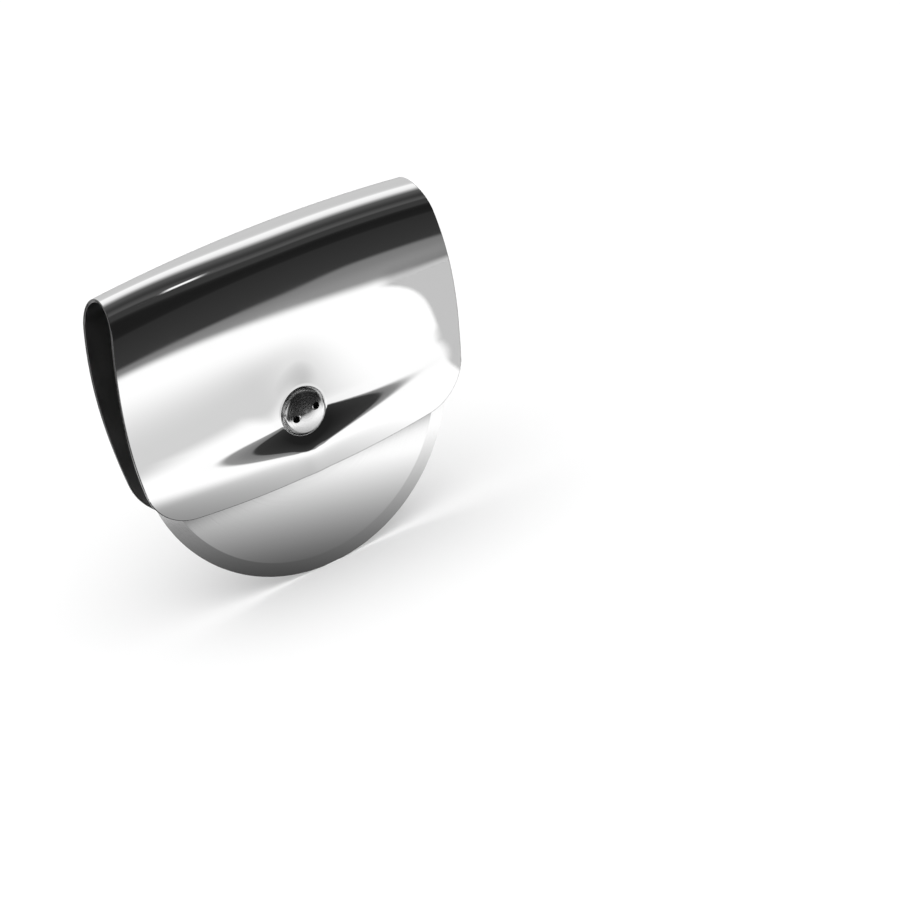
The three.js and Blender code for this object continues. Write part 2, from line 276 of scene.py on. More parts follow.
def sheet_grid():
    """Grid over the whole fold: lengths, and distances down from the ridge line."""
    place = crowd(np.linspace(0, 1, LENGTH_STEPS + 1), 0.5)
    share = 2 * place - 1
    low_x, low_z = bottom_rim(place)
    low_distance = QUARTER_ROLL + roll_centre(low_x) - low_z
    axle_share = roll_centre(0) / (roll_centre(0) - BOTTOM_LEVEL)
    xs, distances = [], []
    for row in range(-ROLL_STEPS - WALL_STEPS, ROLL_STEPS + WALL_STEPS + 1):
        step = abs(row)
        if step <= ROLL_STEPS:
            fall, rolled = 0, QUARTER_ROLL * step / ROLL_STEPS
        else:
            fall, rolled = crowd((step - ROLL_STEPS) / WALL_STEPS, axle_share), QUARTER_ROLL
        reach = end_reach_at(rolled + fall * (low_distance[-1] - QUARTER_ROLL))
        xs.append(share * reach + fall * (low_x - share * low_x[-1]))
        distances.append(np.sign(row) * (rolled + fall * (low_distance - QUARTER_ROLL)))
    return np.array(xs), np.array(distances)


def cup_rings(side, outward):
    """Rings of points and normals from a wall down into its cup, outside (1) or inside (-1)."""
    turn = 2 * pi * np.arange(CUP_STEPS) / CUP_STEPS
    upper = 0.5 + 0.5 * np.sin(turn)
    rounding = BOTTOM_ROUNDING + (1 - BOTTOM_ROUNDING) * upper
    rings = []
    for radius, share, lip in OUTER_CUP if outward > 0 else INNER_CUP:
        if outward > 0 and CUP_RADIUS < radius < ROUNDING_REACH:
            radius = CUP_RADIUS + (radius - CUP_RADIUS) * rounding
        x, z = radius * np.cos(turn), radius * np.sin(turn)
        wall, floor = wall_half_width(x, z), SEAT_OFFSET
        if outward < 0:
            along, upwards = wall_slopes(x, z)
            wall = wall - SHEET_THICKNESS * np.sqrt(1 + along ** 2 + upwards ** 2)
            floor = floor - SHEET_THICKNESS
        y = side * (floor + (wall - floor) * share + lip * upper)
        rings.append(np.stack([x, y, z], axis=-1))
    points = np.array(rings)
    across = np.gradient(points, axis=0)
    around = np.roll(points, -1, axis=1) - np.roll(points, 1, axis=1)
    normal = np.cross(across, around)
    normal /= np.linalg.norm(normal, axis=-1, keepdims=True)
    if normal[-1, 0, 1] * side * outward < 0:
        normal = -normal
    return points, normal


# Meshes

def new_object(name, points, faces, materials, face_materials, normals=None):
    """A mesh object from points in millimetres about the axle."""
    mesh = bpy.data.meshes.new(name)
    mesh.from_pydata([Vector(p) * MM + AXLE for p in points], [], faces)
    for material in materials:
        mesh.materials.append(material)
    mesh.polygons.foreach_set("material_index", face_materials)
    mesh.shade_smooth()
    if normals is not None:
        mesh.normals_split_custom_set_from_vertices([Vector(n) for n in normals])
    mesh.update()
    made = bpy.data.objects.new(name, mesh)
    bpy.context.collection.objects.link(made)
    return made


class Skin:
    """Points, normals and faces of a mesh in the making, with the finish of each face."""

    def __init__(self):
        self.points, self.normals, self.faces, self.finishes = [], [], [], []

    def add_points(self, points, normals):
        start = len(self.points)
        self.points += [tuple(p) for p in points.reshape(-1, 3)]
        self.normals += [tuple(n) for n in normals.reshape(-1, 3)]
        return start

    def add_faces(self, faces, finish):
        self.faces += faces
        self.finishes += [finish] * len(faces)

    def join(self, upper, lower, finish, flip):
        """Faces between two closed rings."""
        made = []
        for k in range(len(upper)):
            n = (k + 1) % len(upper)
            quad = [upper[k], upper[n], lower[n], lower[k]]
            made.append(quad[::-1] if flip else quad)
        self.add_faces(made, finish)

    def to_object(self, name, materials):
        """The finished object, without points that no face uses."""
        used = sorted({i for face in self.faces for i in face})
        renumber = {old: new for new, old in enumerate(used)}
        points = [self.points[i] for i in used]
        normals = [self.normals[i] for i in used]
        faces = [[renumber[i] for i in face] for face in self.faces]
        return new_object(name, points, faces, materials, self.finishes, normals)


def open_edges(faces):
    """Edges that only one of the faces has."""
    edges = set()
    for face in faces:
        for a, b in zip(face, face[1:] + face[:1]):
            if (b, a) in edges:
                edges.remove((b, a))
            else:
                edges.add((a, b))
    return edges


def fill_ring(points, opening, ring, start, flip):
    """Faces between the grid's opening and the first ring of a cup."""
    edges = open_edges(opening)
    rim = sorted({i for edge in edges for i in edge})
    count = len(ring)
    index = rim + list(range(start, start + count))
    where = {old: new for new, old in enumerate(index)}
    flat = [Vector((points[i][0], points[i][2])) for i in rim]
    flat += [Vector((p[0], p[2])) for p in ring]
    fixed = [(where[a], where[b]) for a, b in edges]
    fixed += [(where[start + k], where[start + (k + 1) % count]) for k in range(count)]
    made = delaunay_2d_cdt(flat, fixed, [], KEEP_INSIDE, FILL_TOLERANCE)
    inside = hypot(ring[0][0], ring[0][2]) * cos(pi / count)
    filled = []
    for face in made[2]:
        middle = sum((made[0][i] for i in face), Vector((0, 0))) / len(face)
        if middle.length > inside:
            corners = [index[made[3][i][0]] for i in face]
            filled.append(corners[::-1] if flip else corners)
    return filled


OUTSIDE, RIM, INSIDE = range(3)


def border(rows, columns):
    """Places of the grid's outer points, once round."""
    loop = [(0, c) for c in range(columns - 1)]
    loop += [(r, columns - 1) for r in range(rows - 1)]
    loop += [(rows - 1, c) for c in range(columns - 1, 0, -1)]
    loop += [(r, 0) for r in range(rows - 1, 0, -1)]
    return loop


def add_walls(skin, rows, columns):
    """Both faces of the sheet, apart from an opening at each cup, whose faces are returned."""
    under = rows * columns
    openings = {}
    for row in range(rows - 1):
        for column in range(columns - 1):
            a = row * columns + column
            quad = [a, a + 1, a + 1 + columns, a + columns]
            back = [under + i for i in reversed(quad)]
            middle = np.mean([skin.points[i] for i in quad], axis=0)
            if hypot(middle[0], middle[2]) < PATCH_RADIUS:
                side = 1 if middle[1] > 0 else -1
                openings.setdefault((side, 1), []).append(quad)
                openings.setdefault((side, -1), []).append(back)
                continue
            skin.add_faces([quad], OUTSIDE)
            skin.add_faces([back], INSIDE)
    return openings


def add_rim(skin, outer_ring, inner_ring, edge, up, out):
    """The trimmed edge with both corners rounded, between rings that the walls already have."""
    rings = [outer_ring]
    for depth, tilt in ((RIM_ROUNDING, 0), (SHEET_THICKNESS - RIM_ROUNDING, 90)):
        for k in range(RIM_STEPS + 1):
            turn = radians(tilt + 90 * k / RIM_STEPS)
            if turn in (0, pi):
                continue
            lean = cos(turn) * up + sin(turn) * out
            place = edge - RIM_ROUNDING * out - depth * up + RIM_ROUNDING * lean
            start = skin.add_points(place, lean)
            rings.append(list(range(start, start + len(edge))))
    rings.append(inner_ring)
    for upper, lower in zip(rings, rings[1:]):
        skin.join(upper, lower, RIM, flip=True)


def add_cups(skin, openings):
    """The cups that the heads sit in, with the axle's holes."""
    holes = {}
    for (side, outward), opening in openings.items():
        finish = OUTSIDE if outward > 0 else INSIDE
        flip = side * outward > 0
        cup, normal = cup_rings(side, outward)
        start = skin.add_points(cup, normal)
        skin.add_faces(fill_ring(skin.points, opening, cup[0], start, flip), finish)
        starts = range(start, start + len(cup) * CUP_STEPS, CUP_STEPS)
        rings = [list(range(first, first + CUP_STEPS)) for first in starts]
        for upper, lower in zip(rings, rings[1:]):
            skin.join(upper, lower, finish, flip)
        holes[side, outward] = rings[-1]
    for side in (1, -1):
        skin.join(holes[side, 1], holes[side, -1], RIM, flip=side < 0)


def folded_sheet(name, materials):
    xs, distances = sheet_grid()
    rows, columns = xs.shape
    outer = sheet_points(xs, distances)
    normal = sheet_normals(xs, distances)
    loop = border(rows, columns)
    at = tuple(np.array(loop).T)
    edge, up = outer[at], normal[at]
    out = np.cross(np.roll(edge, -1, axis=0) - np.roll(edge, 1, axis=0), up)
    out /= np.linalg.norm(out, axis=-1, keepdims=True)
    middle = columns // 2
    if out[middle] @ (outer[0, middle] - outer[1, middle]) < 0:
        out = -out
    outer[at] = edge - RIM_ROUNDING * out

    skin = Skin()
    skin.add_points(outer, normal)
    under = skin.add_points(outer - SHEET_THICKNESS * normal, -normal)
    openings = add_walls(skin, rows, columns)
    outer_ring = [r * columns + c for r, c in loop]
    add_rim(skin, outer_ring, [under + i for i in outer_ring], edge, up, out)
    add_cups(skin, openings)
    return skin.to_object(name, materials)


def turned(name, profile, steps, materials, bands=None, facing=1):
    """Turns a closed profile of (radius, y) about the axle; facing -1 turns it to the front."""
    points, faces, finishes, rings = [], [], [], []
    for radius, y in profile:
        if radius == 0:
            rings.append([len(points)] * steps)
            points.append((0, facing * y, 0))
            continue
        rings.append(list(range(len(points), len(points) + steps)))
        for k in range(steps):
            turn = 2 * pi * k / steps
            points.append((facing * radius * sin(turn), facing * y, radius * cos(turn)))
    for i, (upper, lower) in enumerate(zip(rings, rings[1:])):
        for k in range(steps):
            n = (k + 1) % steps
            faces.append(list(dict.fromkeys([upper[k], upper[n], lower[n], lower[k]])))
            finishes.append(bands[i] if bands else 0)
    made = new_object(name, points, faces, materials, finishes)
    work = bmesh.new()
    work.from_mesh(made.data)
    bmesh.ops.remove_doubles(work, verts=work.verts, dist=WELD_DISTANCE)
    bmesh.ops.recalc_face_normals(work, faces=work.faces)
    work.to_mesh(made.data)
    work.free()
    made.data.set_sharp_from_angle(angle=CREASE_ANGLE)
    return made


# Shader nodes

def srgb(level):
    """Linear value of a grey level from 0 to 255."""
    value = level / 255
    return value / 12.92 if value <= 0.04045 else ((value + 0.055) / 1.055) ** 2.4


class Nodes:
    """Short ways to add nodes to a tree."""

    def __init__(self, tree):
        self.tree = tree
        self.link = tree.links.new

    def node(self, kind, **settings):
        made = self.tree.nodes.new(kind)
        for key, value in settings.items():
            setattr(made, key, value)
        return made

    def feed(self, socket, value):
        if isinstance(value, (int, float)):
            socket.default_value = value
        else:
            self.link(value, socket)

    def math(self, operation, *values):
        made = self.node("ShaderNodeMath", operation=operation)
        for socket, value in zip(made.inputs, values):
            self.feed(socket, value)
        return made.outputs[0]

    def product(self, first, *others):
        for other in others:
            first = self.math("MULTIPLY", first, other)
        return first

    def remap(self, value, low, high, to_low=0, to_high=1, kind="LINEAR"):
        made = self.node("ShaderNodeMapRange", interpolation_type=kind)
        made.inputs["From Min"].default_value = low
        made.inputs["From Max"].default_value = high
        made.inputs["To Min"].default_value = to_low
        made.inputs["To Max"].default_value = to_high
        self.feed(made.inputs["Value"], value)
        return made.outputs["Result"]

    def step(self, value, low, high, to_low=0, to_high=1):
        return self.remap(value, low, high, to_low, to_high, "SMOOTHSTEP")

    def band(self, value, rise, full, fade, end):
        """One between full and fade, nothing before rise or after end."""
        return self.product(self.step(value, rise, full), self.step(value, fade, end, 1, 0))

    def tones(self, value, stops):
        """Greys over a range of values; a ramp has 256 steps, so a narrow range is sharper."""
        low, high = stops[0][0], stops[-1][0]
        made = self.node("ShaderNodeValToRGB")
        elements = made.color_ramp.elements
        while len(elements) > 1:
            elements.remove(elements[-1])
        for k, (at, level) in enumerate(stops):
            position = (at - low) / (high - low)
            stop = elements[0] if k == 0 else elements.new(position)
            stop.position = position
            stop.color = (*[srgb(level)] * 3, 1)
        scaled = self.math("MULTIPLY_ADD", value, 1 / (high - low), -low / (high - low))
        self.link(scaled, made.inputs["Fac"])
        return made.outputs["Color"]

    def mix(self, factor, first, second):
        made = self.node("ShaderNodeMix", data_type="RGBA")
        for name, value in (("Factor", factor), ("A", first), ("B", second)):
            self.feed(made.inputs[name], value)
        return made.outputs["Result"]

    def mix_shaders(self, factor, first, second):
        made = self.node("ShaderNodeMixShader")
        for socket, value in zip(made.inputs, (factor, first, second)):
            self.feed(socket, value)
        return made.outputs[0]

    def clear(self, veil):
        """A clear sheet that holds back a share of the light."""
        made = self.node("ShaderNodeBsdfTransparent")
        self.link(self.math("SUBTRACT", 1, veil), made.inputs[0])
        return made.outputs[0]


NOISE_RANGE = (0.3, 0.7)
LINE_DETAIL = 2
BUMP_DEPTH = 0.02


class Finish(Nodes):
    """A principled material with textures laid out in the part's frame."""

    def __init__(self, name, colour, metallic=1):
        self.material = bpy.data.materials.new(name)
        self.material.use_nodes = True
        super().__init__(self.material.node_tree)
        self.shader = self.tree.nodes["Principled BSDF"]
        self.set("Base Color", (*colour, 1))
        self.set("Metallic", metallic)
        self.place = self.node("ShaderNodeTexCoord").outputs["Object"]

    def set(self, name, value):
        self.shader.inputs[name].default_value = value

    def noise(self, scale, detail):
        made = self.node("ShaderNodeTexNoise")
        made.inputs["Scale"].default_value = scale
        made.inputs["Detail"].default_value = detail
        self.link(self.place, made.inputs["Vector"])
        return made.outputs["Fac"]

    def from_axle(self):
        """The vector from the axle's line straight out to the surface."""
        about = self.node("ShaderNodeVectorMath", operation="SUBTRACT")
        about.inputs[1].default_value = AXLE
        self.link(self.place, about.inputs[0])
        flat = self.node("ShaderNodeVectorMath", operation="MULTIPLY")
        flat.inputs[1].default_value = (1, 0, 1)
        self.link(about.outputs[0], flat.inputs[0])
        return flat.outputs[0]

    def turning_lines(self, scale):
        """Fine lines round the axle, such as turning or grinding leaves."""
        radius = self.node("ShaderNodeVectorMath", operation="LENGTH")
        self.link(self.from_axle(), radius.inputs[0])
        made = self.node("ShaderNodeTexNoise", noise_dimensions="1D")
        made.inputs["Scale"].default_value = scale
        made.inputs["Detail"].default_value = LINE_DETAIL
        self.link(radius.outputs["Value"], made.inputs["W"])
        return made.outputs["Fac"]

    def rough(self, texture, low, high):
        """Roughness between low and high over the usual range of a noise texture."""
        self.link(self.remap(texture, *NOISE_RANGE, low, high), self.shader.inputs["Roughness"])

    def bump(self, texture, strength):
        made = self.node("ShaderNodeBump")
        made.inputs["Strength"].default_value = strength
        made.inputs["Distance"].default_value = BUMP_DEPTH * MM
        self.link(texture, made.inputs["Height"])
        self.link(made.outputs["Normal"], self.shader.inputs["Normal"])


# Materials

STEEL = (0.82, 0.82, 0.82)


def polished_sheet():
    finish = Finish("polished_sheet", STEEL)
    finish.rough(finish.noise(scale=55, detail=4), low=0.015, high=0.045)
    return finish.material


def trimmed_rim_painted_shade():
    # The cut edge's dark grey colour, far darker than the steel, is painted shade; its rougher
    # finish is the edge's own.
    finish = Finish("trimmed_rim_painted_shade", colour=(0.2, 0.2, 0.2))
    finish.rough(finish.noise(scale=900, detail=3), low=0.12, high=0.3)
    return finish.material


def sheet_inside_painted_shade():
    # The dull grey colour is partly the unpolished steel inside the fold and partly painted shade
    # of the hollow.
    finish = Finish("sheet_inside_painted_shade", colour=(0.34, 0.34, 0.34))
    finish.rough(finish.noise(scale=120, detail=3), low=0.3, high=0.42)
    return finish.material


def turned_head():
    finish = Finish("turned_head", STEEL)
    finish.rough(finish.turning_lines(scale=3000), low=0.14, high=0.22)
    finish.set("Anisotropic", 0.85)
    finish.link(finish.from_axle(), finish.shader.inputs["Tangent"])
    return finish.material


def pin_hole():
    # The near-black colour of the holes' walls and floor is painted shade in the recess.
    finish = Finish("pin_hole", colour=(0.1, 0.1, 0.1))
    finish.rough(finish.noise(scale=2500, detail=2), low=0.45, high=0.6)
    return finish.material


def disc_face():
    finish = Finish("disc_face", STEEL)
    finish.rough(finish.turning_lines(scale=2500), low=0.07, high=0.12)
    finish.bump(finish.turning_lines(scale=9000), strength=0.04)
    return finish.material


def disc_bevel():
    finish = Finish("disc_bevel", colour=(0.86, 0.86, 0.86))
    finish.rough(finish.turning_lines(scale=6000), low=0.12, high=0.24)
    finish.bump(finish.turning_lines(scale=12000), strength=0.12)
    return finish.material


def bush_polymer():
    finish = Finish("bush_polymer", colour=(0.78, 0.77, 0.73), metallic=0)
    finish.rough(finish.noise(scale=700, detail=3), low=0.4, high=0.6)
    return finish.material


def pale_floor():
    finish = Finish("pale_floor", colour=(0.82, 0.82, 0.82), metallic=0)
    finish.set("Roughness", 0.9)
    finish.set("Specular IOR Level", 0)
    return finish.material


# Pieces

def add(piece, node, body):
    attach(piece, body)
    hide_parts(node)


def build_sheet():
    sheet = folded_sheet("folded_handle", [polished_sheet(), trimmed_rim_painted_shade(), sheet_inside_painted_shade()])
    add(sheet, "handle_shell", "handle")


def build_disc():
    half, land = DISC_THICKNESS / 2, EDGE_LAND / 2
    ground = DISC_RADIUS - BEVEL_WIDTH
    profile = [
        (DISC_BORE_RADIUS, -half), (ground, -half), (DISC_RADIUS, -land), (DISC_RADIUS, land),
        (ground, half), (DISC_BORE_RADIUS, half), (DISC_BORE_RADIUS, -half),
    ]
    finishes = [disc_face(), disc_bevel()]
    disc = turned("round_blade", profile, DISC_STEPS, finishes, [0, 1, 1, 1, 0, 0])
    disc.data.set_sharp_from_angle(angle=BEVEL_CREASE_ANGLE)
    add(disc, "cutting_disc", "wheel")


def build_hub():
    polymer = [bush_polymer()]
    half = DISC_THICKNESS / 2
    flange_face = half + BUSH_FLANGE_THICKNESS
    bush_profile = [
        (BUSH_BORE_RADIUS, 0), (BUSH_SLEEVE_RADIUS, 0), (BUSH_SLEEVE_RADIUS, half),
        (BUSH_FLANGE_RADIUS, half), (BUSH_FLANGE_RADIUS, flange_face - BUSH_CHAMFER),
        (BUSH_FLANGE_RADIUS - BUSH_CHAMFER, flange_face), (BUSH_BORE_RADIUS, flange_face),
        (BUSH_BORE_RADIUS, 0),
    ]
    seat = SEAT_OFFSET - SHEET_THICKNESS
    low = seat - WASHER_THICKNESS
    washer_profile = [
        (BUSH_BORE_RADIUS, low), (WASHER_RADIUS - WASHER_CHAMFER, low),
        (WASHER_RADIUS, low + WASHER_CHAMFER), (WASHER_RADIUS, seat), (BUSH_BORE_RADIUS, seat),
        (BUSH_BORE_RADIUS, low),
    ]
    for facing, end in ((1, "rear"), (-1, "front")):
        bush = turned(end + "_flanged_bush", bush_profile, HUB_STEPS, polymer, facing=facing)
        add(bush, end + "_hub_bush", "wheel")
        washer = turned(end + "_washer", washer_profile, HUB_STEPS, polymer, facing=facing)
        add(washer, end + "_thrust_washer", "handle")


def head_profile():
    profile = [(HEAD_RADIUS, SEAT_OFFSET), (CROWN_RADIUS, SEAT_OFFSET + FLANK_HEIGHT)]
    for step in range(DOME_STEPS, -1, -1):
        radius = DOME_RADIUS * step / DOME_STEPS
        drop = DOME_SPHERE - sqrt(DOME_SPHERE ** 2 - radius ** 2)
        profile.append((radius, DOME_TOP - drop))
    return profile


def drill_pin_holes(piece, finishes, facing):
    """Two blind holes with rounded rims."""
    floor = SEAT_OFFSET + PIN_HOLE_FLOOR
    rim = DOME_TOP - PIN_HOLE_OFFSET ** 2 / (2 * DOME_SPHERE)
    profile = [
        (0, floor), (PIN_HOLE_RADIUS, floor), (PIN_HOLE_RADIUS, rim - PIN_HOLE_RIM_DEPTH),
        *[(PIN_HOLE_RADIUS + grow, rim + rise) for grow, rise in PIN_HOLE_RIM],
        (0, rim + PIN_HOLE_RIM[-1][1]),
    ]
    # The holes' floor and walls take the near-black finish, which is painted shade; the rims keep
    # the head's finish.
    bands = [1, 1, 1] + [0] * len(PIN_HOLE_RIM)
    for side in (1, -1):
        tool = turned("pin_tool", profile, PIN_HOLE_STEPS, finishes, bands, facing)
        along = Vector((facing * cos(PIN_HOLE_TURN), 0, sin(PIN_HOLE_TURN)))
        tool.data.transform(Matrix.Translation(along * side * PIN_HOLE_OFFSET * MM))
        cutter = piece.modifiers.new("pin_hole", "BOOLEAN")
        cutter.object = tool
        cutter.solver = "EXACT"
        bpy.context.view_layer.objects.active = piece
        bpy.ops.object.modifier_apply(modifier=cutter.name)
        bpy.data.objects.remove(tool)
    piece.data.set_sharp_from_angle(angle=CREASE_ANGLE)


def build_axle():
    finishes = [turned_head(), pin_hole()]
    thread_end = THREAD_DEPTH - SEAT_OFFSET
    nut = turned("barrel_nut", [
        (0, thread_end), (THREAD_RADIUS, thread_end), (THREAD_RADIUS, -SEAT_OFFSET),
        (BARREL_RADIUS, -SEAT_OFFSET), (BARREL_RADIUS, SEAT_OFFSET), *head_profile(),
    ], HUB_STEPS, finishes)
    drill_pin_holes(nut, finishes, 1)
    add(nut, "axle_barrel_nut", "handle")

    tip = SEAT_OFFSET - STUD_LENGTH
    screw = turned("headed_screw", [
        (0, tip), (STUD_RADIUS - STUD_CHAMFER, tip), (STUD_RADIUS, tip + STUD_CHAMFER),
        (STUD_RADIUS, SEAT_OFFSET), *head_profile(),
    ], HUB_STEPS, finishes, facing=-1)
    drill_pin_holes(screw, finishes, -1)
    add(screw, "axle_screw", "handle")


build_sheet()
build_disc()
build_hub()
build_axle()


# Studio. Mirror finishes see a dark room over a pale table, and plates near the part that only
# they see. Tones are grey levels from 0 to 255, and places are in millimetres, with heights
# counted from the floor. Angles of a mirrored direction, in degrees, go from straight up (0) to
# the front (90) and down (180), and to the rear below 0. Its sideways part goes from -1 at the
# left to 1 at the right. A pair of values is where a change starts and where it is complete.

MIRROR_GAIN = 1.25
FILL_LIGHT = 0.5
SUN_ENERGY = 2.6
SUN_ANGLE = radians(75)
SUN_TURN = (radians(14), radians(-10), 0)
FLOOR_HALF_SIDE = 4000

# Glowing card on the floor that only mirrors see: a painted reflection, dark under the blade as
# painted shadow
CARD_HALF_LENGTH, CARD_HALF_WIDTH, CARD_HEIGHT = 200, 140, 0.1
CARD_TONE = 80
CARD_TONE_PER_X = 1.36
CARD_TONE_PER_Y = 2.15
CARD_DARKEST, CARD_PALEST, CARD_TONE_STEP = 54, 254, 20
CARD_FAR_X = (95, 150)
CARD_FAR_TONE = 190
CARD_FADE_Y = (54, 72)

# Veil over the floor
VEIL_HALF_LENGTH, VEIL_HALF_WIDTH, VEIL_HEIGHT = 120, 80, 44
VEIL_SHIFT_X = (-12, -2)
VEIL_SHIFT = 5
VEIL_START_Y = (15, 22)
VEIL_END_Y = (26, 66)
VEIL_END_X = (-2, 33)
VEIL_SHARE = 0.37

# Scrim at the front right, with its oval opening
SCRIM_Y = -50
SCRIM_LEFT, SCRIM_RIGHT, SCRIM_LOW, SCRIM_HIGH = 50, 150, 1, 70
OVAL_X, OVAL_Z = 46, 24.5
OVAL_HALF_LENGTH, OVAL_HALF_HEIGHT = 26, 30
OVAL_LOW_X = 45.1
OVAL_LOW_Z = (25, 28)
OVAL_EDGE = 0.995
OVAL_SOFTNESS = 0.035
OVAL_SHARPEN_Z = (25, 29)
OVAL_LOW_SHARPNESS = 0.4
SCRIM_SHARE = 0.47
SCRIM_SLANT = 1.71
SCRIM_SLANT_START = (140.5, 144)
SCRIM_START_X = (51, 58)
SCRIM_END_Z = (52, 62)

# Room and table: tones by angle
REAR_TONES = [
    (-180, 207), (-140, 207), (-130, 250), (-116, 250), (-114, 48), (-109, 66), (-103, 130),
    (-96, 184), (-66, 197),
]
OVERHEAD_TONES = [
    (-50, 197), (-38, 200), (-33, 212), (-26, 248), (-17, 242), (-9, 225), (-1, 156), (6, 89),
    (14, 76), (22, 60), (28, 54), (34, 68), (40, 80), (43, 78), (47, 55), (60, 56), (66, 34),
    (72, 28), (80, 28),
]
FRONT_TONES = [(90, 28), (104, 31), (108, 38), (112, 46), (116, 54), (120, 56)]
WINDOW_TONES = [(58, 40), (70, 190), (96, 205), (106, 170), (112, 90), (116, 54)]
TUBE_TONES = [(0, 250), (90, 250)]
TABLE_TONES = [(116, 252), (124, 254), (180, 254)]
FAR_TABLE_TONES = [(116, 176), (140, 206), (180, 214)]
HAZE_TONES = [(115, 112), (117, 125), (118, 137), (119.5, 147), (123, 157)]

# Room and table: where one tone gives way to another
OVERHEAD_FROM = (-68, -66)
OVERHEAD_SHIFT_X = (0.22, 0.42)
OVERHEAD_SHIFT = (-14, 12)
FRONT_FROM = (92, 94)
WINDOW_FROM = (56, 60)
WINDOW_X = (-0.34, -0.18)
TUBE_SLOPE = 100
TUBE_WIDTH = (4.5, 7, 10, 12.5)
TUBE_X = (0.284, 0.297, 0.318, 0.342)
FAR_TABLE_X = (0.74, 0.9)
TABLE_EDGE = 116.5
TABLE_EDGE_SOFTNESS = 0.35
TABLE_EDGE_SHIFT_X = (0.40, 0.43)
TABLE_EDGE_SHIFT = 0.62
WHITE_FROM = 118.6
WHITE_SOFTNESS = 0.6
WHITE_SHIFT_X = (0.33, 0.45)
WHITE_SHIFT = 1


def stage_plate(name, corners):
    mesh = bpy.data.meshes.new(name)
    mesh.from_pydata([Vector(corner) * MM for corner in corners], [], [(0, 1, 2, 3)])
    plate = bpy.data.objects.new(name, mesh)
    bpy.context.collection.objects.link(plate)
    return plate


def level_corners(half_x, half_y, z):
    return [(-half_x, -half_y, z), (half_x, -half_y, z), (half_x, half_y, z), (-half_x, half_y, z)]


def reflector(name, corners):
    """A plate that only mirror finishes see: its nodes, and x, |y| and z in millimetres."""
    plate = stage_plate(name, corners)
    for kind in ("camera", "diffuse", "transmission", "volume_scatter", "shadow"):
        setattr(plate, "visible_" + kind, False)
    tone = bpy.data.materials.new(name)
    tone.use_nodes = True
    tone.node_tree.nodes.clear()
    plate.data.materials.append(tone)
    nodes = Nodes(tone.node_tree)
    place = nodes.node("ShaderNodeSeparateXYZ")
    nodes.link(nodes.node("ShaderNodeTexCoord").outputs["Object"], place.inputs[0])
    x, y, z = (nodes.math("MULTIPLY", output, 1 / MM) for output in place.outputs)
    return nodes, x, nodes.math("ABSOLUTE", y), z


def show(nodes, surface):
    nodes.link(surface, nodes.node("ShaderNodeOutputMaterial").inputs["Surface"])


def painted_reflection_card():
    """A glowing card on the floor that only mirrors see, a painted reflection: dark under the
    blade as painted shadow, and paler outwards and to the right.
    """
    corners = level_corners(CARD_HALF_LENGTH, CARD_HALF_WIDTH, CARD_HEIGHT)
    nodes, x, y, _ = reflector("painted_reflection_card", corners)
    across = nodes.math("MULTIPLY_ADD", y, CARD_TONE_PER_Y, CARD_TONE)
    level = nodes.math("MULTIPLY_ADD", x, CARD_TONE_PER_X, across)
    far = nodes.step(x, *CARD_FAR_X, CARD_PALEST, CARD_FAR_TONE)
    steps = range(CARD_DARKEST, CARD_PALEST + 1, CARD_TONE_STEP)
    glow = nodes.node("ShaderNodeEmission")
    glow.inputs["Strength"].default_value = MIRROR_GAIN
    capped = nodes.math("MINIMUM", level, far)
    nodes.link(nodes.tones(capped, [(tone, tone) for tone in steps]), glow.inputs[0])
    show(nodes, nodes.mix_shaders(nodes.step(y, *CARD_FADE_Y), glow.outputs[0], nodes.clear(0)))


def low_veil():
    """A clear sheet over the floor that greys what the walls show above and left of the hub."""
    corners = level_corners(VEIL_HALF_LENGTH, VEIL_HALF_WIDTH, VEIL_HEIGHT)
    nodes, x, y, _ = reflector("low_veil", corners)
    start = nodes.math("ADD", y, nodes.step(x, *VEIL_SHIFT_X, 0, VEIL_SHIFT))
    spread = nodes.product(nodes.step(start, *VEIL_START_Y), nodes.step(y, *VEIL_END_Y, 1, 0))
    show(nodes, nodes.clear(nodes.product(spread, nodes.step(x, *VEIL_END_X, VEIL_SHARE, 0))))


def side_scrim():
    """An upright scrim with an oval opening that greys the sheet's right end."""
    nodes, x, _, z = reflector("side_scrim", [
        (SCRIM_LEFT, SCRIM_Y, SCRIM_LOW), (SCRIM_RIGHT, SCRIM_Y, SCRIM_LOW),
        (SCRIM_RIGHT, SCRIM_Y, SCRIM_HIGH), (SCRIM_LEFT, SCRIM_Y, SCRIM_HIGH),
    ])
    shifted = nodes.math("ADD", x, nodes.step(z, *OVAL_LOW_Z, -OVAL_LOW_X, -OVAL_X))
    across = nodes.math("DIVIDE", shifted, OVAL_HALF_LENGTH)
    above = nodes.math("MULTIPLY_ADD", z, 1 / OVAL_HALF_HEIGHT, -OVAL_Z / OVAL_HALF_HEIGHT)
    rise = nodes.math("MAXIMUM", above, 0)
    squared = nodes.math("ADD", nodes.product(across, across), nodes.product(rise, rise))
    outside = nodes.math("SUBTRACT", nodes.math("SQRT", squared), OVAL_EDGE)
    sharpness = nodes.step(z, *OVAL_SHARPEN_Z, OVAL_LOW_SHARPNESS, 1)
    reach = nodes.product(outside, sharpness)
    edge = nodes.step(reach, -OVAL_SOFTNESS, OVAL_SOFTNESS, 0, SCRIM_SHARE)
    slanted = nodes.step(nodes.math("MULTIPLY_ADD", x, SCRIM_SLANT, z), *SCRIM_SLANT_START)
    start, end = nodes.step(x, *SCRIM_START_X), nodes.step(z, *SCRIM_END_Z, 1, 0)
    show(nodes, nodes.clear(nodes.product(edge, slanted, start, end)))


